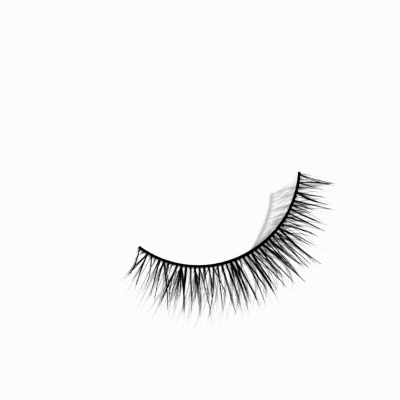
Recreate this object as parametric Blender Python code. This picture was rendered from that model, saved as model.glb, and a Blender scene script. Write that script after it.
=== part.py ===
"""False eyelash strip: a flat cotton band, the tying thread with its knots, and the fringe of lash locks.

The strip lies on a table as it comes off an eye. The band touches the table along its left
third. From there it rises to the right end, and rolls over, so that the locks there point down and
stand on their tips. The origin is on the band's underside, near the middle of its flat stretch.
X runs along the chord, +Y points to the eyelid side, and the locks fan out to -Y. Sizes in metres.
"""

from math import cos, pi, radians, sin, sqrt

import bmesh
import bpy
from mathutils import Vector

MM = 0.001

# Driving dimensions of the band
BAND_RADIUS = 15.03 * MM
BAND_SWEEP = radians(123.0)
BAND_WIDTH = 0.40 * MM
BAND_THICKNESS = 0.18 * MM
BAND_CHAMFER = 0.05 * MM
BAND_STEPS = 72
REST_ANGLE = radians(-41.0)

# The band rises and rolls over between these places, counted along it from its left end. It rolls
# a little ahead of its rise, so that the locks in the middle touch the table under their bellies. It
# rolls about the seam between the band and its tying thread, at the height given in its section.
LIFT = 4.9 * MM
LIFT_START = 10.5 * MM
LIFT_END = 26.5 * MM
LIFT_EASE = 1.5
END_ROLL = radians(-72.0)
ROLL_EASE = 0.8
ROLL_PIVOT = 0.20 * MM

# Tying thread, which runs over the roots and is knotted round each of them. A knot's profile gives
# places as shares of its length from its middle, each with the thread's radius there.
KNOT_COUNT = 48
THREAD_RADIUS = 0.055 * MM
KNOT_RADIUS = 0.105 * MM
KNOT_LENGTH = 0.30 * MM
KNOT_PROFILE = ((-0.5, THREAD_RADIUS), (-0.22, KNOT_RADIUS), (0.22, KNOT_RADIUS), (0.5, THREAD_RADIUS))
THREAD_SIDES = 6

# Backing of the fringe, the glued root line that every lock grows out of
ROOT_LINE_WIDTH = 0.14 * MM
ROOT_LINE_THICKNESS = 0.12 * MM
ROOT_LINE_MARGIN = 0.045 * MM
SEAM = 0.04 * MM

# Form of a lock. Each fibre adds to its width, it is widest a quarter of the way out, and its root is
# narrower by the share given.
LOCK_STEPS = 6
LOCK_WIDTH_PER_FIBRE = 0.055 * MM
LOCK_ROOT_SHARE = 0.62
LOCK_WIDEST_AT = 0.25
LOCK_TAPER = 0.8
LOCK_TIP_WIDTH = 0.045 * MM
LOCK_THICKNESS = 0.11 * MM
LOCK_TANGENT_STEP = 0.01

# Curl of a lock. Where the band lies flat its tip rises by this share of its reach. The curl starts at
# a share of the reach, which is larger where the band is raised, and the belly stays off the table.
TIP_RISE = 0.52
CURL_START = 0.52
CURL_START_RAISED = 0.76
FLOOR_CLEARANCE = 0.07 * MM

# Chart of the locks, which is CHART_LENGTH squares long from the band's left end to its right end.
# Root, middle and tip are places along the band, counted from CHART_START, reach is how far the tip
# stands out from CHART_RADIUS in plan, and fibres says how full the lock is.
CHART_SQUARE = 0.15 * MM
CHART_LENGTH = 216.8
CHART_START = -2.3
CHART_RADIUS = 15.15 * MM
LOCK_COLUMNS = ("root", "middle", "tip", "reach", "fibres")
LOCK_CHART = (
    (1.4, 4.6, 3.5, 37, 6),
    (8.0, 4.9, 3.0, 39, 6),
    (9.5, 11.6, 14.8, 45, 6),
    (10.4, 9.3, 8.2, 36, 3),
    (14.8, 19.8, 18.4, 42, 5),
    (21.5, 21.8, 22.0, 32, 4),
    (22.6, 24.8, 26.4, 47, 7),
    (26.0, 28.3, 30.8, 48, 6),
    (29.0, 36.6, 41.0, 49, 10),
    (31.5, 34.2, 37.0, 28, 5),
    (33.8, 32.8, 33.4, 26, 3),
    (39.6, 36.6, 34.8, 45, 6),
    (40.4, 38.8, 40.4, 38, 5),
    (43.2, 44.3, 42.4, 48, 9),
    (43.0, 42.4, 40.2, 30, 4),
    (45.0, 46.6, 47.8, 34, 6),
    (47.2, 50.6, 52.2, 58, 11),
    (49.0, 50.2, 51.2, 38, 7),
    (52.4, 56.3, 57.2, 48, 6),
    (51.8, 50.8, 50.2, 22, 4),
    (58.0, 61.7, 62.4, 52, 9),
    (59.2, 59.4, 59.4, 40, 4),
    (62.8, 63.2, 64.3, 46, 5),
    (63.6, 62.2, 61.8, 26, 5),
    (64.2, 68.8, 70.8, 58, 5),
    (66.4, 69.0, 70.8, 32, 4),
    (75.8, 72.8, 66.0, 58, 5),
    (74.4, 73.0, 72.0, 30, 4),
    (71.4, 73.6, 73.0, 36, 5),
    (77.0, 81.2, 83.6, 36, 6),
    (80.0, 79.6, 77.8, 53, 3),
    (83.6, 86.6, 87.0, 58, 10),
    (88.4, 91.6, 90.8, 57, 8),
    (94.0, 93.2, 92.0, 28, 6),
    (94.2, 96.6, 94.6, 57, 9),
    (96.8, 98.6, 98.4, 44, 6),
    (100.6, 99.0, 98.6, 48, 7),
    (101.4, 103.0, 103.0, 57, 7),
    (106.2, 111.2, 113.2, 42, 7),
    (109.6, 109.0, 106.8, 54, 4),
    (110.8, 116.0, 115.6, 58, 10),
    (113.4, 115.4, 116.4, 36, 6),
    (117.4, 116.2, 115.8, 24, 5),
    (118.4, 118.4, 119.8, 50, 7),
    (119.6, 123.0, 125.4, 54, 8),
    (124.0, 125.6, 126.6, 38, 5),
    (126.8, 129.8, 131.2, 54, 9),
    (128.2, 127.0, 129.6, 48, 4),
    (131.8, 135.6, 137.0, 58, 10),
    (137.2, 136.0, 135.8, 32, 6),
    (137.8, 137.6, 138.4, 46, 3),
    (138.0, 141.2, 143.6, 45, 7),
    (142.4, 143.2, 143.6, 22, 4),
    (145.0, 142.4, 143.8, 32, 5),
    (149.4, 146.0, 145.0, 56, 9),
    (146.6, 148.0, 147.6, 50, 5),
    (150.4, 151.0, 149.8, 36, 5),
    (154.4, 151.8, 152.8, 60, 8),
    (155.2, 157.0, 158.0, 42, 5),
    (155.6, 158.4, 160.6, 50, 6),
    (160.0, 164.4, 166.6, 38, 6),
    (163.4, 165.4, 166.0, 22, 4),
    (167.8, 170.4, 172.2, 32, 7),
    (173.0, 172.2, 172.8, 48, 8),
    (174.6, 176.2, 177.0, 44, 7),
    (175.8, 178.0, 178.8, 18, 4),
    (180.6, 180.6, 180.8, 28, 4),
    (181.6, 182.6, 183.2, 20, 3),
    (186.0, 187.2, 189.0, 44, 9),
    (184.8, 183.8, 183.4, 30, 5),
    (192.2, 191.0, 191.4, 36, 6),
    (193.4, 195.0, 196.8, 36, 6),
    (199.2, 200.6, 201.0, 22, 3),
    (204.2, 202.0, 201.0, 28, 5),
    (205.2, 206.4, 206.8, 36, 6),
    (210.4, 208.2, 207.6, 37, 7),
)

BLACK_COTTON = ("dyed_cotton_thread", (0.010, 0.009, 0.010, 1.0), 0.85)
BLACK_THREAD = ("waxed_tying_thread", (0.006, 0.005, 0.006, 1.0), 0.60)
BLACK_FIBRE = ("heat_set_lash_fibre", (0.008, 0.006, 0.007, 1.0), 0.42)

BAND_PLAN_LENGTH = BAND_RADIUS * BAND_SWEEP


def smooth_step(value):
    """Ease from 0 to 1."""
    value = min(1.0, max(0.0, value))
    return value * value * (3.0 - 2.0 * value)


def blend(low, high, share):
    return low + (high - low) * share


def raised_share(along):
    """0 where the band lies on the table, 1 where it is fully raised and rolled over."""
    return smooth_step((along - LIFT_START) / (LIFT_END - LIFT_START))


def band_height(along):
    """Height of the band's underside over the table."""
    return LIFT * raised_share(along) ** LIFT_EASE


def band_roll(along):
    """How far the band's section is rolled, negative where the locks point down."""
    return END_ROLL * raised_share(along) ** ROLL_EASE


def plan_point(along, radius, height):
    """A point from its place along the band, its distance from the arc's centre and its height."""
    turn = along / BAND_RADIUS - BAND_SWEEP / 2
    rest_x = BAND_RADIUS * sin(REST_ANGLE)
    rest_y = -BAND_RADIUS * cos(REST_ANGLE)
    return Vector((radius * sin(turn) - rest_x, -radius * cos(turn) - rest_y, height))


def section_place(along, out, high):
    """Where the roll takes a point of the section: its distance out from the arc, and its height."""
    roll = band_roll(along)
    above = high - ROLL_PIVOT
    shift = out * cos(roll) - above * sin(roll)
    return shift, band_height(along) + ROLL_PIVOT + out * sin(roll) + above * cos(roll)


def section_point(along, out, high):
    """A point at a place along the band, so far out and so high in its section before the roll."""
    shift, height = section_place(along, out, high)
    return plan_point(along, BAND_RADIUS + shift, height)


def sweep(name, rings):
    """A closed body through rings of points, with a flat cap at each end."""
    shape = bmesh.new()
    rows = [[shape.verts.new(point) for point in ring] for ring in rings]
    for first, second in zip(rows, rows[1:]):
        for side in range(len(first)):
            after = (side + 1) % len(first)
            shape.faces.new((first[side], first[after], second[after], second[side]))
    shape.faces.new(rows[0])
    shape.faces.new(rows[-1])
    bmesh.ops.recalc_face_normals(shape, faces=shape.faces)
    mesh = bpy.data.meshes.new(name)
    shape.to_mesh(mesh)
    shape.free()
    return bpy.data.objects.new(name, mesh)


def finish_material(kind):
    name, colour, roughness = kind
    material = bpy.data.materials.new(name)
    material.use_nodes = True
    surface = material.node_tree.nodes["Principled BSDF"]
    surface.inputs["Base Color"].default_value = colour
    surface.inputs["Roughness"].default_value = roughness
    surface.inputs["Metallic"].default_value = 0.0
    return material


def along_places(start, end, steps):
    return [blend(start, end, step / steps) for step in range(steps + 1)]


def make_band():
    """The flat cotton band, with its long edges chamfered and its ends cut square."""
    half = BAND_WIDTH / 2
    edge = BAND_CHAMFER
    outline = (
        (-half + edge, 0.0),
        (half - edge, 0.0),
        (half, edge),
        (half, BAND_THICKNESS - edge),
        (half - edge, BAND_THICKNESS),
        (-half + edge, BAND_THICKNESS),
        (-half, BAND_THICKNESS - edge),
        (-half, edge),
    )
    places = along_places(0.0, BAND_PLAN_LENGTH, BAND_STEPS)
    return sweep("lash_band", [[section_point(place, *point) for point in outline] for place in places])


def knot_places():
    """Centres of the knots, evenly pitched along the band."""
    pitch = BAND_PLAN_LENGTH / KNOT_COUNT
    return [pitch * (knot + 0.5) for knot in range(KNOT_COUNT)]


def make_knot_thread():
    """The tying thread, thin between the knots and swollen at each of them."""
    out = BAND_WIDTH / 2 - KNOT_RADIUS / 2
    high = BAND_THICKNESS + SEAM + KNOT_RADIUS
    rings = []
    for centre in knot_places():
        for share, radius in KNOT_PROFILE:
            place = centre + share * KNOT_LENGTH
            rings.append([
                section_point(
                    place,
                    out + radius * cos(2 * pi * side / THREAD_SIDES),
                    high + radius * sin(2 * pi * side / THREAD_SIDES),
                )
                for side in range(THREAD_SIDES)
            ])
    return sweep("knot_thread", rings)


def root_line_out():
    """Distance of the root line's middle from the band's middle."""
    return BAND_WIDTH / 2 + SEAM + ROOT_LINE_WIDTH / 2


def make_root_line():
    """The glued root line along the band's outer edge."""
    out = root_line_out()
    half = ROOT_LINE_WIDTH / 2
    low = (BAND_THICKNESS - ROOT_LINE_THICKNESS) / 2
    outline = ((-half, low), (half, low), (half, low + ROOT_LINE_THICKNESS), (-half, low + ROOT_LINE_THICKNESS))
    places = along_places(ROOT_LINE_MARGIN, BAND_PLAN_LENGTH - ROOT_LINE_MARGIN, BAND_STEPS)
    rings = [[section_point(place, out + point[0], point[1]) for point in outline] for place in places]
    return sweep("lash_fringe", rings)


def root_place(root):
    """A lock's root in the root line: its distance out from the arc, and its height."""
    return section_place(root, root_line_out(), BAND_THICKNESS / 2)


def lock_profile(root, reach):
    """Start, control point and tip of a lock's curl: distance out from the root, and height."""
    lying = 1.0 - raised_share(root)
    roll = band_roll(root)
    start_height = root_place(root)[1]
    tip_height = FLOOR_CLEARANCE + (start_height + TIP_RISE * reach) * lying
    run = reach * blend(CURL_START_RAISED, CURL_START, lying)
    if roll < 0.0:
        over_floor = max(0.0, (start_height - FLOOR_CLEARANCE) * (tip_height - FLOOR_CLEARANCE))
        lowest_control = FLOOR_CLEARANCE - sqrt(over_floor)
        run = min(run, (start_height - lowest_control) / sin(-roll))
    control = (run * cos(roll), start_height + run * sin(roll))
    return (0.0, start_height), control, (reach, tip_height)


def lock_point(lock, step):
    """A point of the lock's middle line, from 0 at the root to 1 at the tip."""
    start, control, tip = lock_profile(lock["root"], lock["reach"])
    weights = ((1 - step) ** 2, 2 * step * (1 - step), step ** 2)
    out = sum(weight * point[0] for weight, point in zip(weights, (start, control, tip)))
    height = sum(weight * point[1] for weight, point in zip(weights, (start, control, tip)))
    share = out / lock["reach"]
    along = (
        lock["root"] * (1 - share) * (1 - 2 * share)
        + lock["middle"] * 4 * share * (1 - share)
        + lock["tip"] * share * (2 * share - 1)
    )
    return plan_point(along, BAND_RADIUS + root_place(lock["root"])[0] + out, height)


def lock_width(lock, step):
    """Full width of a lock: gathered at the root, fullest a little way out, pointed at the tip."""
    full = LOCK_WIDTH_PER_FIBRE * lock["fibres"]
    if step < LOCK_WIDEST_AT:
        return blend(LOCK_ROOT_SHARE * full, full, step / LOCK_WIDEST_AT)
    taper = ((step - LOCK_WIDEST_AT) / (1 - LOCK_WIDEST_AT)) ** LOCK_TAPER
    return blend(full, LOCK_TIP_WIDTH, taper)


def make_lock(name, lock):
    """A curled, pointed lock with a flattened diamond section."""
    rings = []
    for count in range(LOCK_STEPS + 1):
        step = count / LOCK_STEPS
        here = lock_point(lock, step)
        ahead = lock_point(lock, step + LOCK_TANGENT_STEP) - lock_point(lock, step - LOCK_TANGENT_STEP)
        ahead.normalize()
        across = ahead.cross(Vector((0.0, 0.0, 1.0))).normalized()
        above = across.cross(ahead).normalized()
        width = lock_width(lock, step) / 2
        depth = blend(LOCK_THICKNESS, LOCK_TIP_WIDTH, step) / 2
        rings.append([here + across * width, here + above * depth, here - across * width, here - above * depth])
    return sweep(name, rings)


def make_locks():
    """One lock for each row of the chart."""
    locks = []
    for number, row in enumerate(LOCK_CHART):
        lock = dict(zip(LOCK_COLUMNS, row))
        for column in ("root", "middle", "tip"):
            lock[column] = (lock[column] - CHART_START) * BAND_PLAN_LENGTH / CHART_LENGTH
        tip_radius = CHART_RADIUS + lock["reach"] * CHART_SQUARE
        lock["reach"] = tip_radius - BAND_RADIUS - root_place(lock["root"])[0]
        locks.append(make_lock(f"lock_{number:02d}", lock))
    return locks


def main():
    for old in list(bpy.data.objects):
        bpy.data.objects.remove(old, do_unlink=True)
    strip = bpy.data.collections.new("false_eyelash_strip")
    loose_locks = bpy.data.collections.new("locks_before_fusing")
    for collection in (strip, loose_locks):
        bpy.context.scene.collection.children.link(collection)

    for lock in make_locks():
        lock.hide_render = True
        lock.display_type = "WIRE"
        loose_locks.objects.link(lock)

    fringe = make_root_line()
    fuse = fringe.modifiers.new("fuse_locks", "BOOLEAN")
    fuse.operation = "UNION"
    fuse.operand_type = "COLLECTION"
    fuse.collection = loose_locks
    fuse.solver = "EXACT"

    finished = ((make_band(), BLACK_COTTON), (make_knot_thread(), BLACK_THREAD), (fringe, BLACK_FIBRE))
    for piece, finish in finished:
        piece.data.materials.append(finish_material(finish))
        strip.objects.link(piece)


main()
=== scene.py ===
import random
from math import cos, radians, sin, sqrt, tau

import bmesh
import bpy
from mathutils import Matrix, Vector


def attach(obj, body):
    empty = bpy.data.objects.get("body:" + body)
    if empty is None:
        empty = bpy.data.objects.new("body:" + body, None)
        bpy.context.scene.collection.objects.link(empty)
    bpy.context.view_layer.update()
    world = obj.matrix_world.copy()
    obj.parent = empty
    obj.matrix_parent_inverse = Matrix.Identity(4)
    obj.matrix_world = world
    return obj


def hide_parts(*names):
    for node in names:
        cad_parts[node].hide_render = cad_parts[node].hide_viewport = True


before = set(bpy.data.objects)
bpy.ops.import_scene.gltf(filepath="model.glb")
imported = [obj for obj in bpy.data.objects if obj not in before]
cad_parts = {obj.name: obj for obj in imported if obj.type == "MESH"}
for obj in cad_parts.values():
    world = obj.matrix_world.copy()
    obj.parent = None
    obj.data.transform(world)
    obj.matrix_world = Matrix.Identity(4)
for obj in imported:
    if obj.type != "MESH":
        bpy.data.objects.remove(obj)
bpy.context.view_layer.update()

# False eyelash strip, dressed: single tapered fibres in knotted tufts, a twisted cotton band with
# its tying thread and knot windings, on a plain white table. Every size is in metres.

MM = 0.001
BODY = "root"
UP = Vector((0.0, 0.0, 1.0))

# The strip's own shape, as its solids have it
BAND_RADIUS = 15.03 * MM
BAND_SWEEP = radians(123.0)
BAND_LENGTH = BAND_RADIUS * BAND_SWEEP
BAND_WIDTH = 0.40 * MM
BAND_THICKNESS = 0.18 * MM
REST_ANGLE = radians(-41.0)
LIFT = 4.9 * MM
LIFT_START = 10.5 * MM
LIFT_END = 26.5 * MM
LIFT_EASE = 1.5
END_ROLL = radians(-72.0)
ROLL_EASE = 0.8
ROLL_PIVOT = 0.20 * MM
SEAM = 0.04 * MM
KNOT_COUNT = 48
KNOT_RADIUS = 0.105 * MM
ROOT_LINE_WIDTH = 0.14 * MM
ROOT_LINE_OUT = BAND_WIDTH / 2 + SEAM + ROOT_LINE_WIDTH / 2
TIP_RISE = 0.52
CURL_START = 0.52
CURL_START_RAISED = 0.76
FLOOR_CLEARANCE = 0.07 * MM

# Chart of the locks, on squares of this size: places along the band, reach in plan, and fullness
CHART_SQUARE = 0.15 * MM
CHART_LENGTH = 216.8
CHART_START = -2.3
CHART_RADIUS = 15.15 * MM
LOCK_COLUMNS = ("root", "middle", "tip", "reach", "fibres")
LOCK_CHART = (
    (1.4, 4.6, 3.5, 37, 6),
    (8.0, 4.9, 3.0, 39, 6),
    (9.5, 11.6, 14.8, 45, 6),
    (10.4, 9.3, 8.2, 36, 3),
    (14.8, 19.8, 18.4, 42, 5),
    (21.5, 21.8, 22.0, 32, 4),
    (22.6, 24.8, 26.4, 47, 7),
    (26.0, 28.3, 30.8, 48, 6),
    (29.0, 36.6, 41.0, 49, 10),
    (31.5, 34.2, 37.0, 28, 5),
    (33.8, 32.8, 33.4, 26, 3),
    (39.6, 36.6, 34.8, 45, 6),
    (40.4, 38.8, 40.4, 38, 5),
    (43.2, 44.3, 42.4, 48, 9),
    (43.0, 42.4, 40.2, 30, 4),
    (45.0, 46.6, 47.8, 34, 6),
    (47.2, 50.6, 52.2, 58, 11),
    (49.0, 50.2, 51.2, 38, 7),
    (52.4, 56.3, 57.2, 48, 6),
    (51.8, 50.8, 50.2, 22, 4),
    (58.0, 61.7, 62.4, 52, 9),
    (59.2, 59.4, 59.4, 40, 4),
    (62.8, 63.2, 64.3, 46, 5),
    (63.6, 62.2, 61.8, 26, 5),
    (64.2, 68.8, 70.8, 58, 5),
    (66.4, 69.0, 70.8, 32, 4),
    (75.8, 72.8, 66.0, 58, 5),
    (74.4, 73.0, 72.0, 30, 4),
    (71.4, 73.6, 73.0, 36, 5),
    (77.0, 81.2, 83.6, 36, 6),
    (80.0, 79.6, 77.8, 53, 3),
    (83.6, 86.6, 87.0, 58, 10),
    (88.4, 91.6, 90.8, 57, 8),
    (94.0, 93.2, 92.0, 28, 6),
    (94.2, 96.6, 94.6, 57, 9),
    (96.8, 98.6, 98.4, 44, 6),
    (100.6, 99.0, 98.6, 48, 7),
    (101.4, 103.0, 103.0, 57, 7),
    (106.2, 111.2, 113.2, 42, 7),
    (109.6, 109.0, 106.8, 54, 4),
    (110.8, 116.0, 115.6, 58, 10),
    (113.4, 115.4, 116.4, 36, 6),
    (117.4, 116.2, 115.8, 24, 5),
    (118.4, 118.4, 119.8, 50, 7),
    (119.6, 123.0, 125.4, 54, 8),
    (124.0, 125.6, 126.6, 38, 5),
    (126.8, 129.8, 131.2, 54, 9),
    (128.2, 127.0, 129.6, 48, 4),
    (131.8, 135.6, 137.0, 58, 10),
    (137.2, 136.0, 135.8, 32, 6),
    (137.8, 137.6, 138.4, 46, 3),
    (138.0, 141.2, 143.6, 45, 7),
    (142.4, 143.2, 143.6, 22, 4),
    (145.0, 142.4, 143.8, 32, 5),
    (149.4, 146.0, 145.0, 56, 9),
    (146.6, 148.0, 147.6, 50, 5),
    (150.4, 151.0, 149.8, 36, 5),
    (154.4, 151.8, 152.8, 60, 8),
    (155.2, 157.0, 158.0, 42, 5),
    (155.6, 158.4, 160.6, 50, 6),
    (160.0, 164.4, 166.6, 38, 6),
    (163.4, 165.4, 166.0, 22, 4),
    (167.8, 170.4, 172.2, 32, 7),
    (173.0, 172.2, 172.8, 48, 8),
    (174.6, 176.2, 177.0, 44, 7),
    (175.8, 178.0, 178.8, 18, 4),
    (180.6, 180.6, 180.8, 28, 4),
    (181.6, 182.6, 183.2, 20, 3),
    (186.0, 187.2, 189.0, 44, 9),
    (184.8, 183.8, 183.4, 30, 5),
    (192.2, 191.0, 191.4, 36, 6),
    (193.4, 195.0, 196.8, 36, 6),
    (199.2, 200.6, 201.0, 22, 3),
    (204.2, 202.0, 201.0, 28, 5),
    (205.2, 206.4, 206.8, 36, 6),
    (210.4, 208.2, 207.6, 37, 7),
)

# Fibres: heat-set polyester, thick at the root and drawn to a point. Each draws its radius at random,
# as a share of the diameter, and keeps most of it to about halfway: a taper of 1 would be even.
FIBRE_DIAMETER = 0.101 * MM
FIBRE_RADII = (0.34, 0.56)
FIBRE_TIP = 0.016 * MM
FIBRE_TAPER = 1.5
FIBRE_SIDES = 5

# Strokes: each lock is a few of them side by side, and as wide as its fibres need. They take up these
# shares of its width at its root, middle and tip, each shifted a little at random. The middle one
# reaches furthest, and the root of each lock is drawn most of the way to its knot.
LOCK_WIDTH_PER_FIBRE = 0.055 * MM
FIBRES_PER_STROKE = 3.6
STROKE_HALF_WIDTH = 0.060 * MM
STROKE_SPREAD = {"root": 0.22, "middle": 0.5, "tip": 0.16}
STROKE_JITTER = 0.25
STROKE_REACH = (0.82, 1.02)
LONGEST_STROKE = 1.025
STROKE_SEED = 21
KNOT_PULL = 0.8

# Fullness: fibres for each one in the chart, where the band lies flat and where it is raised, and the
# share of them at the band's thin end, which grows to all of them at this place along it
FIBRES_PER_UNIT = 0.98
FIBRES_PER_UNIT_RAISED = 1.9
LOCKS_AT_START = 0.72
FULL_FROM = 9.0 * MM

# Fine hairs: how many leave each knot, how far they lean, their reach as a share of the locks' reach,
# and their thickness as a share of a lock's fibre. The rows are the short ends left by the knots,
# crossing hairs, body hairs and wisps.
FINE_COLUMNS = ("per_knot", "lean", "shortest", "longest", "fineness")
FINE_KINDS = (
    (2.6, 0.22 * MM, 0.06, 0.20, 1.0),
    (1.1, 0.95 * MM, 0.14, 0.42, 0.75),
    (0.4, 0.45 * MM, 0.45, 0.88, 0.65),
    (1.3, 0.40 * MM, 0.90, 1.28, 0.55),
)

# The share of its lean that a fine hair has halfway, how far along the band from its knot the locks'
# reach is looked up, and the reach that no fine hair passes
FINE_BEND = (0.4, 0.8)
NEAR_LOCKS = 1.2 * MM
LONGEST_REACH = 9.15 * MM

# The share of fine hairs left at the band's thin end, and where it is raised. Then how far they stray
# from their knot and from their guide, and how near to the band's ends they may start.
FINE_AT_START = 0.3
FINE_RAISED = 0.85
FINE_ROOT = 0.10 * MM
FINE_HALF_WIDTH = 0.05 * MM
END_MARGIN = 0.3 * MM
FINE_SEED = 7

# Guides: one for each stroke or fine hair, with these values on its points
GUIDE_STEPS = 15
GUIDE_VALUES = {
    "share": "FLOAT",
    "side": "FLOAT_VECTOR",
    "above": "FLOAT_VECTOR",
    "fibres": "INT",
    "half_width": "FLOAT",
    "fineness": "FLOAT",
}

# Tufts: how far fibres stray from the body, root and tip of their guide, as shares of its half width,
# the shortest fibre's share of the guide, and the seed
TUFT_COLUMNS = ("Body Spread", "Root Spread", "Tip Spread", "Shortest Share", "Seed")
TUFTS = {
    "lash_locks": (0.75, 0.9, 1.3, 0.66, 3),
    "fine_lashes": (1.0, 0.6, 1.0, 0.9, 11),
}

# How much a tuft's body swells between its ends, and its depth as a share of its width
BODY_BULGE = 3.2
TUFT_DEPTH = 0.55

# Yarns: three of them side by side, of three plies each, make the band, and the tying thread has two
# plies. The twist radius is how far each ply's centre is from its yarn's. Each yarn ends this far
# short of the band's ends.
BAND_STEPS = 140
YARN_SPACING = 0.127 * MM
YARN_MARGIN = 0.03 * MM
THREAD_MARGIN = 0.1 * MM
YARN_COLUMNS = ("Plies", "Ply Radius", "Twist Radius", "Twist Pitch", "Step Length", "Sides")
YARNS = {
    "lash_band_yarns": (3, 0.037 * MM, 0.037 * MM, 0.42 * MM, 0.055 * MM, 6),
    "tying_thread": (2, 0.030 * MM, 0.026 * MM, 0.24 * MM, 0.035 * MM, 6),
}

# Dried glue: a core that fills the grooves of the band, and a bead on it that the thread lies in
GLUE_EDGE = 0.03 * MM
CORE_INSET = 0.02 * MM
BEAD_INNER = 0.0
BEAD_OUTER = 0.22 * MM
BEAD_LOW = BAND_THICKNESS - 0.05 * MM
BEAD_HIGH = BAND_THICKNESS + 0.15 * MM

# Where the section has the tying thread and its coils, and the lashings
THREAD_OUT = BAND_WIDTH / 2 - KNOT_RADIUS / 2
THREAD_HIGH = BAND_THICKNESS + SEAM + KNOT_RADIUS
LASHING_OUT = 0.04 * MM
LASHING_HIGH = 0.141 * MM

# Windings at each knot: a tight coil round the tying thread, and a lashing round the band and roots.
# Steps are for one turn, and sides are the thread's. Each knot draws its size as a share of these.
WINDING_COLUMNS = (
    "Turns", "Half Width", "Half Height", "Length", "Thread Radius", "Steps", "Sides", "Seed",
)
WINDINGS = {
    "knot_coils": (5.0, 0.085 * MM, 0.085 * MM, 0.28 * MM, 0.032 * MM, 16, 5, 5),
    "knot_lashings": (2.0, 0.24 * MM, 0.10 * MM, 0.09 * MM, 0.024 * MM, 16, 5, 9),
}
WINDING_SIZES = (0.9, 1.12)

# A short step to find the band's axes by
AXIS_STEP = 0.01 * MM

# Where a fibre's root is tucked: on the band's top face, under the tying thread
TUCK_OUT = 0.06 * MM
TUCK_HIGH = BAND_THICKNESS - 0.01 * MM
TUCK_SHARE = 0.03

# Grain of the finishes. A fibre's gloss changes in patches about as wide as itself. Cotton hairs are
# 0.015 mm wide, too fine to show, so the lint of the band and the thread is drawn about twice as
# coarse. The table's paint has a stipple of 0.4 mm.
GLOSS_PATCH = MM / 9
BAND_LINT = MM / 30
THREAD_LINT = MM / 40
LINT_HEIGHT = 0.01 * MM
TABLE_GRAIN = 0.4 * MM

# A fibre's roughness, between its glossiest and its dullest patches, and the share of its length past
# which it turns browner
FIBRE_ROUGHNESS = (0.36, 0.58)
BROWN_FROM = 0.55

# Sockets that share their name with others, so they are given by number: a Mix node's two colours and
# their mix, and a Random Value node's least and greatest number and the one it draws
MIX_FROM = 6
MIX_TO = 7
MIXED = 2
DRAW_LEAST = 2
DRAW_MOST = 3
DRAWN = 1

# Picture frame: the photo is 400 pixels square and shows 60 mm of table. The lens is long, so that it
# looks as straight down on the ends of the strip as on its middle.
PICTURE_WIDTH = 60.0 * MM
PICTURE_TURN = radians(25.12)
ARC_CENTRE_TO_PICTURE_CENTRE = (0.255 * MM, -5.093 * MM)
LENS = 300.0
SENSOR = 36.0
NEAREST_SHOWN = 0.01
FARTHEST_SHOWN = 10.0

# The table reaches this far each way from the strip, past every view's edge
TABLE_HALF = 1.5

# Lamps: where each shines from, as parts to the picture's right, up the picture and toward the camera,
# its strength, and its width in degrees, which softens its shadows
LAMP_COLUMNS = ("name", "right", "up", "above", "strength", "width")
LAMPS = (
    ("key", 0.55, 0.44, 0.70, 2.35, 3.6),
    ("overhead", 0.0, 0.0, 1.0, 1.05, 22.0),
)
SURROUND_STRENGTH = 0.32

# Film: light in, and light shown, on the curve for all three colours together. The toe is deep, for
# hard blacks, and the top stays under 1, as the photo's table does.
COMBINED_CURVE = 3
FILM_TONES = (
    (0.0, 0.0), (0.05, 0.0085), (0.12, 0.05), (0.26, 0.2),
    (0.52, 0.53), (0.7, 0.785), (0.85, 0.925), (1.0, 0.973),
)


def linear_colour(hex_code):
    """Linear red, green, blue and alpha from an sRGB hex value."""
    channels = [int(hex_code[place:place + 2], 16) / 255 for place in (1, 3, 5)]
    return tuple(c / 12.92 if c <= 0.04045 else ((c + 0.055) / 1.055) ** 2.4 for c in channels) + (1.0,)


def set_inputs(tree, node, inputs):
    """Give a node's inputs their values, or link them from a socket or from a node's first output."""
    for key, value in inputs.items():
        if isinstance(value, bpy.types.Node):
            value = value.outputs[0]
        if isinstance(value, bpy.types.NodeSocket):
            tree.links.new(value, node.inputs[key])
        else:
            node.inputs[key].default_value = value


def add_node(tree, kind, inputs=None, **settings):
    """A node with its settings, values and links."""
    node = tree.nodes.new(kind)
    for name, value in settings.items():
        setattr(node, name, value)
    set_inputs(tree, node, inputs or {})
    return node


def add_object(name, data):
    """An object in the scene, made of a mesh, a lamp or a camera."""
    made = bpy.data.objects.new(name, data)
    bpy.context.scene.collection.objects.link(made)
    return made


def blend(low, high, share):
    """The value at a share of the way from one value to another."""
    return low + (high - low) * share


def raised_share(along):
    """0 where the band lies on the table, 1 where it is fully raised, eased in and out between them."""
    share = min(1.0, max(0.0, (along - LIFT_START) / (LIFT_END - LIFT_START)))
    return share * share * (3.0 - 2.0 * share)


def plan_point(along, radius, height):
    """A point from its place along the band, its distance from the arc's centre and its height."""
    turn = along / BAND_RADIUS - BAND_SWEEP / 2
    rest_x = BAND_RADIUS * sin(REST_ANGLE)
    rest_y = -BAND_RADIUS * cos(REST_ANGLE)
    return Vector((radius * sin(turn) - rest_x, -radius * cos(turn) - rest_y, height))


def section_place(along, out, high):
    """Where the roll takes a point of the section: its distance out from the arc, and its height."""
    roll = END_ROLL * raised_share(along) ** ROLL_EASE
    above = high - ROLL_PIVOT
    shift = out * cos(roll) - above * sin(roll)
    lift = LIFT * raised_share(along) ** LIFT_EASE
    return shift, lift + ROLL_PIVOT + out * sin(roll) + above * cos(roll)


def section_point(along, out, high):
    """A point at a place along the band, so far out and so high in its section before the roll."""
    shift, height = section_place(along, out, high)
    return plan_point(along, BAND_RADIUS + shift, height)


def root_place(root):
    """A lock's root at the band's outer edge: its distance out from the arc, and its height."""
    return section_place(root, ROOT_LINE_OUT, BAND_THICKNESS / 2)


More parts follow.
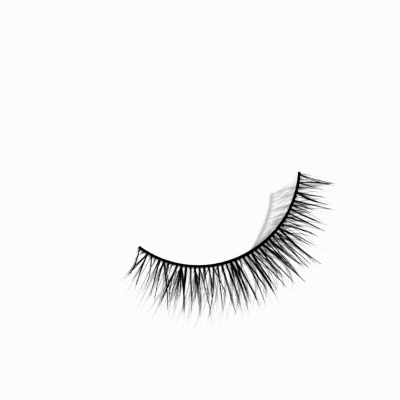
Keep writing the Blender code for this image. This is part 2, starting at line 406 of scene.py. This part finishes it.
def lock_profile(root, reach):
    """Start, control point and tip of a lock's curl: distance out from the root, and height."""
    lying = 1.0 - raised_share(root)
    roll = END_ROLL * raised_share(root) ** ROLL_EASE
    start_height = root_place(root)[1]
    tip_height = FLOOR_CLEARANCE + (start_height + TIP_RISE * reach) * lying
    run = reach * blend(CURL_START_RAISED, CURL_START, lying)
    # Where the band rolls over, the control point goes only so low that the curve clears the table
    if roll < 0.0:
        over_floor = max(0.0, (start_height - FLOOR_CLEARANCE) * (tip_height - FLOOR_CLEARANCE))
        lowest_control = FLOOR_CLEARANCE - sqrt(over_floor)
        run = min(run, (start_height - lowest_control) / sin(-roll))
    control = (run * cos(roll), start_height + run * sin(roll))
    return (0.0, start_height), control, (reach, tip_height)


def lock_point(lock, step):
    """A point of a lock's middle line, from 0 at the root to 1 at the tip: a curve with one control
    point in profile, which passes in plan through the lock's root, middle and tip."""
    start, control, tip = lock_profile(lock["root"], lock["reach"])
    weights = ((1 - step) ** 2, 2 * step * (1 - step), step ** 2)
    out = sum(weight * point[0] for weight, point in zip(weights, (start, control, tip)))
    height = sum(weight * point[1] for weight, point in zip(weights, (start, control, tip)))
    share = out / lock["reach"]
    along = (
        lock["root"] * (1 - share) * (1 - 2 * share)
        + lock["middle"] * 4 * share * (1 - share)
        + lock["tip"] * share * (2 * share - 1)
    )
    return plan_point(along, BAND_RADIUS + root_place(lock["root"])[0] + out, height)


def charted(row):
    """A row of the chart as real sizes."""
    lock = dict(zip(LOCK_COLUMNS, row))
    for column in ("root", "middle", "tip"):
        lock[column] = (lock[column] - CHART_START) * BAND_LENGTH / CHART_LENGTH
    tip_radius = CHART_RADIUS + lock["reach"] * CHART_SQUARE
    lock["reach"] = tip_radius - BAND_RADIUS - root_place(lock["root"])[0]
    return lock


def knot_places():
    """The knots' places along the band, evenly spaced."""
    pitch = BAND_LENGTH / KNOT_COUNT
    return [pitch * (knot + 0.5) for knot in range(KNOT_COUNT)]


def nearest_knot(place):
    """The knot that a root is tied in."""
    return min(knot_places(), key=lambda knot: abs(knot - place))


def fullness(place, at_start):
    """How full the fringe is at a place, from this share at its thin end up to 1."""
    return blend(at_start, 1.0, min(1.0, place / FULL_FROM))


def envelope(place):
    """The longest reach near a place along the band, from the chart."""
    return max(lock["reach"] for lock in map(charted, LOCK_CHART) if abs(lock["root"] - place) < NEAR_LOCKS)


def guide_mesh(name, lines, kinds):
    """A mesh of edge chains, one for each guide line, with named values on its points."""
    points = [point for line in lines for point in line["points"]]
    edges = []
    first = 0
    for line in lines:
        count = len(line["points"])
        edges += [(first + step, first + step + 1) for step in range(count - 1)]
        first += count
    mesh = bpy.data.meshes.new(name)
    mesh.from_pydata(points, edges, [])
    for key, kind in kinds.items():
        values = [value for line in lines for value in line[key]]
        layer = mesh.attributes.new(key, kind, "POINT")
        if kind == "FLOAT_VECTOR":
            layer.data.foreach_set("vector", [part for value in values for part in value])
        else:
            layer.data.foreach_set("value", values)
    return mesh


def guide_line(lock, fibres, half_width, fineness=1.0):
    """The guide of one tuft, with the values that the tuft tree reads."""
    steps = [step / GUIDE_STEPS for step in range(GUIDE_STEPS + 1)]
    points = [section_point(lock["root"], TUCK_OUT, TUCK_HIGH)] + [lock_point(lock, step) for step in steps]
    line = {"points": points, "side": [], "above": []}
    line["share"] = [0.0] + [blend(TUCK_SHARE, 1.0, step) for step in steps]
    for place in range(len(points)):
        ahead = points[min(place + 1, len(points) - 1)] - points[max(place - 1, 0)]
        side = ahead.cross(UP).normalized()
        line["side"].append(side)
        line["above"].append(side.cross(ahead).normalized())
    for name, value in (("fibres", fibres), ("half_width", half_width), ("fineness", fineness)):
        line[name] = [value] * len(points)
    return line


def band_line(out, high, margin):
    """A guide line along the band at one place of its section, with a margin at both ends."""
    end = BAND_LENGTH - margin
    steps = [step / BAND_STEPS for step in range(BAND_STEPS + 1)]
    return {"points": [section_point(blend(margin, end, step), out, high) for step in steps]}


def knot_points(out, high):
    """Points at the knots, with the band's own axes there."""
    points = []
    for place in knot_places():
        here = section_point(place, out, high)
        points.append({
            "points": [here],
            "run": [(section_point(place + AXIS_STEP, out, high) - here).normalized()],
            "out": [(section_point(place, out + AXIS_STEP, high) - here).normalized()],
        })
    return guide_mesh("knot_points", points, {"run": "FLOAT_VECTOR", "out": "FLOAT_VECTOR"})


def new_tree(name, inputs):
    """A Geometry Nodes tree with a geometry input and output, and its named inputs."""
    tree = bpy.data.node_groups.new(name, "GeometryNodeTree")
    tree.interface.new_socket("Geometry", in_out="INPUT", socket_type="NodeSocketGeometry")
    for label, kind in inputs:
        tree.interface.new_socket(label, in_out="INPUT", socket_type=kind)
    tree.interface.new_socket("Geometry", in_out="OUTPUT", socket_type="NodeSocketGeometry")
    return tree, add_node(tree, "NodeGroupInput").outputs


def sweep(tree, curve, sides, radius):
    """A round tube of the given radius along each curve, closed at its ends."""
    ring = add_node(tree, "GeometryNodeCurvePrimitiveCircle", {"Resolution": sides, "Radius": 1.0})
    return add_node(tree, "GeometryNodeCurveToMesh", {
        "Curve": curve, "Profile Curve": ring, "Scale": radius, "Fill Caps": True,
    })


def close_tree(tree, geometry, material):
    """The tree's end: real geometry, shaded smooth, with its material."""
    smooth = add_node(tree, "GeometryNodeSetShadeSmooth", {"Geometry": geometry})
    solid = add_node(tree, "GeometryNodeRealizeInstances", {"Geometry": smooth})
    painted = add_node(tree, "GeometryNodeSetMaterial", {"Geometry": solid, "Material": material})
    add_node(tree, "NodeGroupOutput", {"Geometry": painted})


def tuft_tree():
    """Fibres along each guide: loose at the root, gathered in the body, drawn to a point at the tip."""
    tree, given = new_tree("lash_tufts", (
        ("Fibre Diameter", "NodeSocketFloat"),
        ("Tip Diameter", "NodeSocketFloat"),
        ("Body Spread", "NodeSocketFloat"),
        ("Root Spread", "NodeSocketFloat"),
        ("Tip Spread", "NodeSocketFloat"),
        ("Shortest Share", "NodeSocketFloat"),
        ("Sides", "NodeSocketInt"),
        ("Seed", "NodeSocketInt"),
        ("Material", "NodeSocketMaterial"),
    ))
    fields = {
        name: add_node(tree, "GeometryNodeInputNamedAttribute", {"Name": name}, data_type=kind).outputs[0]
        for name, kind in GUIDE_VALUES.items()
    }
    guides = add_node(tree, "GeometryNodeMeshToCurve", {"Mesh": given["Geometry"]})
    many = add_node(
        tree, "GeometryNodeDuplicateElements", {"Geometry": guides, "Amount": fields["fibres"]},
        domain="SPLINE",
    )

    # What each fibre draws: the least and greatest value, and how far its seed is from the tree's
    index = add_node(tree, "GeometryNodeInputIndex")
    fibre = add_node(tree, "GeometryNodeFieldOnDomain", {"Value": index}, data_type="INT", domain="CURVE")
    draws = {}
    for name, least, most, seed_step in (
        ("side Root", -1.0, 1.0, 0),
        ("side Body", -1.0, 1.0, 1),
        ("side Tip", -1.0, 1.0, 2),
        ("above Root", -TUFT_DEPTH, TUFT_DEPTH, 10),
        ("above Body", -TUFT_DEPTH, TUFT_DEPTH, 11),
        ("above Tip", -TUFT_DEPTH, TUFT_DEPTH, 12),
        ("length", given["Shortest Share"], 1.0, 20),
        ("shade", 0.0, 1.0, 30),
        ("radius", *FIBRE_RADII, 40),
    ):
        seed = add_node(tree, "ShaderNodeMath", {0: given["Seed"], 1: seed_step}, operation="ADD")
        draws[name] = add_node(
            tree, "FunctionNodeRandomValue",
            {"ID": fibre, "Seed": seed, DRAW_LEAST: least, DRAW_MOST: most}, data_type="FLOAT",
        ).outputs[DRAWN]

    # How far fibres may stray along the guide: the three parts fade into each other
    share = fields["share"]
    left = add_node(tree, "ShaderNodeMath", {0: 1.0, 1: share}, operation="SUBTRACT")
    spreads = {}
    for part, operation, first, second, strength in (
        ("Root", "POWER", left, 2.0, 1.0),
        ("Body", "MULTIPLY", share, left, BODY_BULGE),
        ("Tip", "POWER", share, 2.0, 1.0),
    ):
        spread = add_node(tree, "ShaderNodeMath", {0: first, 1: second}, operation=operation)
        for factor in (strength, given[part + " Spread"], fields["half_width"]):
            spread = add_node(tree, "ShaderNodeMath", {0: spread, 1: factor}, operation="MULTIPLY")
        spreads[part] = spread
    moves = []
    for axis in ("side", "above"):
        total = 0.0
        for part, spread in spreads.items():
            drawn = draws[axis + " " + part]
            stray = add_node(tree, "ShaderNodeMath", {0: spread, 1: drawn}, operation="MULTIPLY")
            total = add_node(tree, "ShaderNodeMath", {0: total, 1: stray}, operation="ADD")
        moves.append(add_node(
            tree, "ShaderNodeVectorMath", {0: fields[axis], "Scale": total}, operation="SCALE",
        ))
    offset = add_node(tree, "ShaderNodeVectorMath", {0: moves[0], 1: moves[1]}, operation="ADD")
    loose = add_node(tree, "GeometryNodeSetPosition", {"Geometry": many, "Offset": offset})

    # No fibre sinks into the table
    place = add_node(tree, "GeometryNodeInputPosition")
    axes = add_node(tree, "ShaderNodeSeparateXYZ", {0: place}).outputs
    height = add_node(
        tree, "ShaderNodeMath", {0: axes["Z"], 1: given["Fibre Diameter"]}, operation="MAXIMUM",
    )
    resting = add_node(tree, "ShaderNodeCombineXYZ", {"X": axes["X"], "Y": axes["Y"], "Z": height})
    laid = add_node(tree, "GeometryNodeSetPosition", {"Geometry": loose, "Position": resting})
    marked = add_node(tree, "GeometryNodeTrimCurve", {"Curve": laid, "End": draws["length"]}, mode="FACTOR")

    # Values for the material, then the taper
    along = add_node(tree, "GeometryNodeSplineParameter").outputs["Factor"]
    for name, value in (("along", along), ("shade", draws["shade"])):
        marked = add_node(
            tree, "GeometryNodeStoreNamedAttribute",
            {"Geometry": marked, "Name": name, "Value": value}, data_type="FLOAT", domain="POINT",
        )
    loss = add_node(tree, "ShaderNodeMath", {0: along, 1: FIBRE_TAPER}, operation="POWER")
    taper = add_node(tree, "ShaderNodeMath", {0: 1.0, 1: loss}, operation="SUBTRACT")
    thick = given["Fibre Diameter"]
    for factor in (draws["radius"], fields["fineness"], taper):
        thick = add_node(tree, "ShaderNodeMath", {0: thick, 1: factor}, operation="MULTIPLY")
    tip = add_node(tree, "ShaderNodeMath", {0: given["Tip Diameter"], 1: 0.5}, operation="MULTIPLY")
    radius = add_node(tree, "ShaderNodeMath", {0: thick, 1: tip}, operation="ADD")
    close_tree(tree, sweep(tree, marked, given["Sides"], radius), given["Material"])
    return tree


def yarn_tree():
    """Plies twisted round each guide line, like cotton yarn."""
    tree, given = new_tree("twisted_yarn", (
        ("Plies", "NodeSocketInt"),
        ("Ply Radius", "NodeSocketFloat"),
        ("Twist Radius", "NodeSocketFloat"),
        ("Twist Pitch", "NodeSocketFloat"),
        ("Step Length", "NodeSocketFloat"),
        ("Sides", "NodeSocketInt"),
        ("Material", "NodeSocketMaterial"),
    ))
    guides = add_node(tree, "GeometryNodeMeshToCurve", {"Mesh": given["Geometry"]})
    line = add_node(
        tree, "GeometryNodeResampleCurve", {"Curve": guides, "Length": given["Step Length"]}, mode="LENGTH",
    )
    fields = {}
    for name, source, output, kind in (
        ("yarn_side", "GeometryNodeInputNormal", "Normal", "FLOAT_VECTOR"),
        ("yarn_tangent", "GeometryNodeInputTangent", "Tangent", "FLOAT_VECTOR"),
        ("travelled", "GeometryNodeSplineParameter", "Length", "FLOAT"),
    ):
        value = add_node(tree, source).outputs[output]
        line = add_node(
            tree, "GeometryNodeStoreNamedAttribute",
            {"Geometry": line, "Name": name, "Value": value}, data_type=kind, domain="POINT",
        )
        fields[name] = add_node(tree, "GeometryNodeInputNamedAttribute", {"Name": name}, data_type=kind)
    plies = add_node(
        tree, "GeometryNodeDuplicateElements", {"Geometry": line, "Amount": given["Plies"]},
        domain="SPLINE",
    )
    ply_number = plies.outputs["Duplicate Index"]
    turns = add_node(
        tree, "ShaderNodeMath", {0: fields["travelled"], 1: given["Twist Pitch"]}, operation="DIVIDE",
    )
    start = add_node(tree, "ShaderNodeMath", {0: ply_number, 1: given["Plies"]}, operation="DIVIDE")
    turned = add_node(tree, "ShaderNodeMath", {0: turns, 1: start}, operation="ADD")
    angle = add_node(tree, "ShaderNodeMath", {0: turned, 1: tau}, operation="MULTIPLY")
    toward = add_node(
        tree, "ShaderNodeVectorRotate",
        {"Vector": fields["yarn_side"], "Axis": fields["yarn_tangent"], "Angle": angle},
        rotation_type="AXIS_ANGLE",
    )
    offset = add_node(
        tree, "ShaderNodeVectorMath", {0: toward, "Scale": given["Twist Radius"]}, operation="SCALE",
    )
    twisted = add_node(tree, "GeometryNodeSetPosition", {"Geometry": plies, "Offset": offset})
    close_tree(tree, sweep(tree, twisted, given["Sides"], given["Ply Radius"]), given["Material"])
    return tree


def winding_tree():
    """A close winding of thread at each point, round the band's run."""
    tree, given = new_tree("knot_winding", (
        ("Turns", "NodeSocketFloat"),
        ("Half Width", "NodeSocketFloat"),
        ("Half Height", "NodeSocketFloat"),
        ("Length", "NodeSocketFloat"),
        ("Thread Radius", "NodeSocketFloat"),
        ("Steps", "NodeSocketInt"),
        ("Sides", "NodeSocketInt"),
        ("Seed", "NodeSocketInt"),
        ("Material", "NodeSocketMaterial"),
    ))
    spiral = add_node(tree, "GeometryNodeCurveSpiral", {
        "Resolution": given["Steps"], "Rotations": given["Turns"],
        "Start Radius": 1.0, "End Radius": 1.0, "Height": 1.0,
    })
    scale = add_node(tree, "ShaderNodeCombineXYZ", {
        "X": given["Half Width"], "Y": given["Half Height"], "Z": given["Length"],
    })
    half_back = add_node(tree, "ShaderNodeMath", {0: given["Length"], 1: -0.5}, operation="MULTIPLY")
    centring = add_node(tree, "ShaderNodeCombineXYZ", {"Z": half_back})
    coil = add_node(tree, "GeometryNodeTransform", {
        "Geometry": spiral, "Scale": scale, "Translation": centring,
    })
    run, out = (
        add_node(tree, "GeometryNodeInputNamedAttribute", {"Name": name}, data_type="FLOAT_VECTOR")
        for name in ("run", "out")
    )
    aim = add_node(
        tree, "FunctionNodeAxesToRotation", {"Primary Axis": run, "Secondary Axis": out},
        primary_axis="Z", secondary_axis="X",
    )
    least, most = WINDING_SIZES
    size = add_node(
        tree, "FunctionNodeRandomValue",
        {"Seed": given["Seed"], DRAW_LEAST: least, DRAW_MOST: most}, data_type="FLOAT",
    )
    knots = add_node(tree, "GeometryNodeInstanceOnPoints", {
        "Points": given["Geometry"], "Instance": sweep(tree, coil, given["Sides"], given["Thread Radius"]),
        "Rotation": aim, "Scale": size.outputs[DRAWN],
    })
    close_tree(tree, knots, given["Material"])
    return tree


def grow(name, tree, mesh, values):
    """Run a tree on a mesh, with its inputs by name, and keep the result as a plain mesh."""
    holder = add_object(name + "_guide", mesh)
    modifier = holder.modifiers.new("grow", "NODES")
    modifier.node_group = tree
    for item in tree.interface.items_tree:
        if item.in_out == "INPUT" and item.name in values:
            modifier[item.identifier] = values[item.name]
    graph = bpy.context.evaluated_depsgraph_get()
    grown = bpy.data.meshes.new_from_object(holder.evaluated_get(graph))
    bpy.data.objects.remove(holder, do_unlink=True)
    grown.name = name
    return add_object(name, grown)


def grow_tufts(name, lines, material):
    """Grow the fibres of one piece from their guides."""
    values = dict(zip(TUFT_COLUMNS, TUFTS[name]))
    values |= {"Fibre Diameter": FIBRE_DIAMETER, "Tip Diameter": FIBRE_TIP, "Sides": FIBRE_SIDES}
    values["Material"] = material
    return grow(name, tuft_tree(), guide_mesh(name + "_guides", lines, GUIDE_VALUES), values)


def grow_yarn(name, lines, material):
    """Twist the yarns of one piece along their guides."""
    values = dict(zip(YARN_COLUMNS, YARNS[name]), Material=material)
    return grow(name, yarn_tree(), guide_mesh(name + "_guides", lines, {}), values)


def grow_windings(name, points, material):
    """Wind thread round the band's run at each knot."""
    values = dict(zip(WINDING_COLUMNS, WINDINGS[name]), Material=material)
    return grow(name, winding_tree(), points, values)


def solid_object(name, shape, material):
    """An object made from a bmesh, with its material."""
    mesh = bpy.data.meshes.new(name)
    shape.to_mesh(mesh)
    shape.free()
    mesh.materials.append(material)
    return add_object(name, mesh)


def glue_strip(name, inner, outer, low, high, material):
    """A strip of dried glue along the band, with chamfered edges, between places of its section."""
    edge = GLUE_EDGE
    outline = (
        (inner + edge, low), (outer - edge, low), (outer, low + edge), (outer, high - edge),
        (outer - edge, high), (inner + edge, high), (inner, high - edge), (inner, low + edge),
    )
    shape = bmesh.new()
    rows = [
        [shape.verts.new(section_point(BAND_LENGTH * step / BAND_STEPS, *point)) for point in outline]
        for step in range(BAND_STEPS + 1)
    ]
    for first, second in zip(rows, rows[1:]):
        for side in range(len(outline)):
            after = (side + 1) % len(outline)
            shape.faces.new((first[side], first[after], second[after], second[side]))
    shape.faces.new(rows[0])
    shape.faces.new(rows[-1])
    bmesh.ops.recalc_face_normals(shape, faces=shape.faces)
    return solid_object(name, shape, material)


def new_material(name):
    """A material, with its node tree and its surface."""
    material = bpy.data.materials.new(name)
    material.use_nodes = True
    return material, material.node_tree, material.node_tree.nodes["Principled BSDF"]


def lash_fibre():
    """Heat-set polyester lash fibre: drawn black filament, which gives a satin streak of light. Fibres
    differ a little in depth of black, and are a little browner at their fine tips."""
    material, tree, surface = new_material("heat_set_lash_fibre")
    along = add_node(tree, "ShaderNodeAttribute", attribute_name="along").outputs["Fac"]
    shade = add_node(tree, "ShaderNodeAttribute", attribute_name="shade").outputs["Fac"]
    body = add_node(tree, "ShaderNodeMix", {
        "Factor": shade, MIX_FROM: linear_colour("#070607"), MIX_TO: linear_colour("#141112"),
    }, data_type="RGBA")
    tip = add_node(tree, "ShaderNodeMapRange", {"Value": along, "From Min": BROWN_FROM, "From Max": 1.0})
    whole = add_node(tree, "ShaderNodeMix", {
        "Factor": tip, MIX_FROM: body.outputs[MIXED], MIX_TO: linear_colour("#221a1b"),
    }, data_type="RGBA")
    place = add_node(tree, "ShaderNodeTexCoord").outputs["Object"]
    patches = add_node(tree, "ShaderNodeTexNoise", {
        "Vector": place, "Scale": 1 / GLOSS_PATCH, "Detail": 2.0,
    })
    glossiest, dullest = FIBRE_ROUGHNESS
    gloss = add_node(tree, "ShaderNodeMapRange", {"Value": patches, "To Min": glossiest, "To Max": dullest})
    set_inputs(tree, surface, {
        "Base Color": whole.outputs[MIXED], "Roughness": gloss, "Specular IOR Level": 0.3,
    })
    return material


def cotton(name, dark, light, roughness, lint_width):
    """Dyed cotton, spun and stiffened with glue or wax: matt, with a faint bloom of loose hairs and a
    fine grain of lint."""
    material, tree, surface = new_material(name)
    place = add_node(tree, "ShaderNodeTexCoord").outputs["Object"]
    lint = add_node(tree, "ShaderNodeTexNoise", {"Vector": place, "Scale": 1 / lint_width, "Detail": 4.0})
    dye = add_node(tree, "ShaderNodeMix", {
        "Factor": lint, MIX_FROM: linear_colour(dark), MIX_TO: linear_colour(light),
    }, data_type="RGBA")
    bump = add_node(tree, "ShaderNodeBump", {"Height": lint, "Strength": 0.35, "Distance": LINT_HEIGHT})
    set_inputs(tree, surface, {
        "Base Color": dye.outputs[MIXED], "Normal": bump, "Roughness": roughness,
        "Specular IOR Level": 0.25, "Sheen Weight": 0.02, "Sheen Roughness": 0.5,
    })
    return material


def matt_white_table():
    """Painted white table top: matt, so it gives no reflections, with a barely visible grain."""
    material, tree, surface = new_material("matt_white_table")
    place = add_node(tree, "ShaderNodeTexCoord").outputs["Object"]
    grain = add_node(tree, "ShaderNodeTexNoise", {"Vector": place, "Scale": 1 / TABLE_GRAIN, "Detail": 3.0})
    paint = add_node(tree, "ShaderNodeMix", {
        "Factor": grain, MIX_FROM: linear_colour("#f1f1f1"), MIX_TO: linear_colour("#f5f5f5"),
    }, data_type="RGBA")
    set_inputs(tree, surface, {
        "Base Color": paint.outputs[MIXED], "Roughness": 0.9, "Specular IOR Level": 0.1,
    })
    return material


def make_locks(material):
    """The pointed locks of the chart, each of a few strokes of fibres that lie close together."""
    draw = random.Random(STROKE_SEED)
    lines = []
    for lock in map(charted, LOCK_CHART):
        strokes = round(lock["fibres"] / FIBRES_PER_STROKE)
        crowd = blend(FIBRES_PER_UNIT, FIBRES_PER_UNIT_RAISED, raised_share(lock["root"]))
        fibres = round(lock["fibres"] / strokes * (crowd * fullness(lock["root"], LOCKS_AT_START)))
        room = LOCK_WIDTH_PER_FIBRE * lock["fibres"] / 2
        tied = dict(lock, root=blend(lock["root"], nearest_knot(lock["root"]), KNOT_PULL))
        for number in range(strokes):
            across = (number + 0.5) / strokes * 2 - 1 + draw.uniform(-STROKE_JITTER, STROKE_JITTER)
            stroke = {part: tied[part] + across * room * spread for part, spread in STROKE_SPREAD.items()}
            share = LONGEST_STROKE if number == strokes // 2 else draw.uniform(*STROKE_REACH)
            stroke["reach"] = lock["reach"] * share
            lines.append(guide_line(stroke, fibres, STROKE_HALF_WIDTH))
    return grow_tufts("lash_locks", lines, material)


def make_fine_lashes(material):
    """Single hairs out of each knot, which lean left and right."""
    draw = random.Random(FINE_SEED)
    lines = []
    for place in knot_places():
        crowd = fullness(place, FINE_AT_START) * blend(1.0, FINE_RAISED, raised_share(place))
        for kind in (dict(zip(FINE_COLUMNS, row)) for row in FINE_KINDS):
            for _ in range(int(kind["per_knot"] * crowd + draw.random())):
                root = place + draw.uniform(-FINE_ROOT, FINE_ROOT)
                root = min(BAND_LENGTH - END_MARGIN, max(END_MARGIN, root))
                lean = draw.uniform(max(-kind["lean"], -root), min(kind["lean"], BAND_LENGTH - root))
                hair = {"root": root, "middle": root + lean * draw.uniform(*FINE_BEND), "tip": root + lean}
                reach = envelope(place) * draw.uniform(kind["shortest"], kind["longest"])
                hair["reach"] = min(LONGEST_REACH, reach)
                lines.append(guide_line(hair, 1, FINE_HALF_WIDTH, kind["fineness"]))
    return grow_tufts("fine_lashes", lines, material)


def make_band(material):
    """Three twisted yarns side by side."""
    rows = [band_line(row * YARN_SPACING, BAND_THICKNESS / 2, YARN_MARGIN) for row in (-1, 0, 1)]
    return grow_yarn("lash_band_yarns", rows, material)


def make_band_core(material):
    """Dried glue that soaks the band and fills the grooves between its yarns."""
    half = BAND_WIDTH / 2 - CORE_INSET
    return glue_strip("band_core", -half, half, CORE_INSET, BAND_THICKNESS - 2 * CORE_INSET, material)


def make_root_glue(material):
    """The bead of dried glue on the band that holds the tied roots under the thread."""
    return glue_strip("root_glue", BEAD_INNER, BEAD_OUTER, BEAD_LOW, BEAD_HIGH, material)


def make_tying_thread(material):
    """The tying thread that runs over the roots."""
    return grow_yarn("tying_thread", [band_line(THREAD_OUT, THREAD_HIGH, THREAD_MARGIN)], material)


def make_knots(material):
    """Each knot: a tight coil round the tying thread, and a lashing round band and roots."""
    coils = grow_windings("knot_coils", knot_points(THREAD_OUT, THREAD_HIGH), material)
    lashings = grow_windings("knot_lashings", knot_points(LASHING_OUT, LASHING_HIGH), material)
    return coils, lashings


def make_floor():
    """The table top under the strip."""
    shape = bmesh.new()
    bmesh.ops.create_grid(shape, x_segments=1, y_segments=1, size=TABLE_HALF)
    floor = solid_object("table_top", shape, matt_white_table())


def picture_axes():
    """The picture's right and up on the table."""
    right = Vector((cos(PICTURE_TURN), -sin(PICTURE_TURN), 0.0))
    return right, Vector((sin(PICTURE_TURN), cos(PICTURE_TURN), 0.0))


def make_camera():
    """Straight down, turned so that the strip lies as in the photo, low and to the right."""
    right, up = picture_axes()
    centre = plan_point(BAND_LENGTH / 2, 0.0, 0.0)
    target = centre + right * ARC_CENTRE_TO_PICTURE_CENTRE[0] + up * ARC_CENTRE_TO_PICTURE_CENTRE[1]
    data = bpy.data.cameras.new("camera")
    data.lens = LENS
    data.sensor_width = SENSOR
    data.clip_start = NEAREST_SHOWN
    data.clip_end = FARTHEST_SHOWN
    camera = add_object("camera", data)
    camera.location = target + UP * (PICTURE_WIDTH * LENS / SENSOR)
    camera.rotation_euler = (0.0, 0.0, -PICTURE_TURN)
    bpy.context.scene.camera = camera


def make_light():
    """A soft key from the picture's upper right, soft light from overhead, and a pale surround."""
    right, up = picture_axes()
    for lamp in (dict(zip(LAMP_COLUMNS, row)) for row in LAMPS):
        data = bpy.data.lights.new(lamp["name"], "SUN")
        data.energy = lamp["strength"]
        data.angle = radians(lamp["width"])
        toward = right * lamp["right"] + up * lamp["up"] + UP * lamp["above"]
        sun = add_object(lamp["name"], data)
        sun.rotation_mode = "QUATERNION"
        sun.rotation_quaternion = toward.to_track_quat("Z", "Y")
    world = bpy.data.worlds.new("pale_surround")
    world.use_nodes = True
    background = world.node_tree.nodes["Background"]
    set_inputs(world.node_tree, background, {
        "Color": linear_colour("#ffffff"), "Strength": SURROUND_STRENGTH,
    })
    bpy.context.scene.world = world


def set_film():
    """A bright, hard print: the table burns out to an even near-white, and the blacks are deep."""
    film = bpy.context.scene.view_settings
    film.view_transform = "Standard"
    film.use_curve_mapping = True
    film.curve_mapping.extend = "HORIZONTAL"
    tones = film.curve_mapping.curves[COMBINED_CURVE].points
    tones[0].location = FILM_TONES[0]
    tones[-1].location = FILM_TONES[-1]
    for light, shown in FILM_TONES[1:-1]:
        tones.new(light, shown)
    film.curve_mapping.update()


def main():
    """The camera, the dressed strip with each piece on its body in place of its node, and the set round it.
    """
    make_camera()
    fibre = lash_fibre()
    band_cotton = cotton("dyed_cotton_band", "#070607", "#191718", 0.9, BAND_LINT)
    thread = cotton("waxed_tying_thread", "#060506", "#141213", 0.6, THREAD_LINT)
    dressed = (
        (make_locks(fibre), ("lash_fringe",), "lash_fibre"),
        (make_fine_lashes(fibre), ("lash_fringe",), "lash_fibre"),
        (make_band(band_cotton), ("lash_band",), "band_cotton"),
        (make_band_core(band_cotton), ("lash_band",), "band_cotton"),
        (make_root_glue(thread), ("knot_thread",), "tying_thread"),
        (make_tying_thread(thread), ("knot_thread",), "tying_thread"),
    ) + tuple((piece, ("knot_thread",), "tying_thread") for piece in make_knots(thread))
    for piece, nodes, slot in dressed:
        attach(piece, BODY)
        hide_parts(*nodes)
    make_floor()
    make_light()
    set_film()


main()
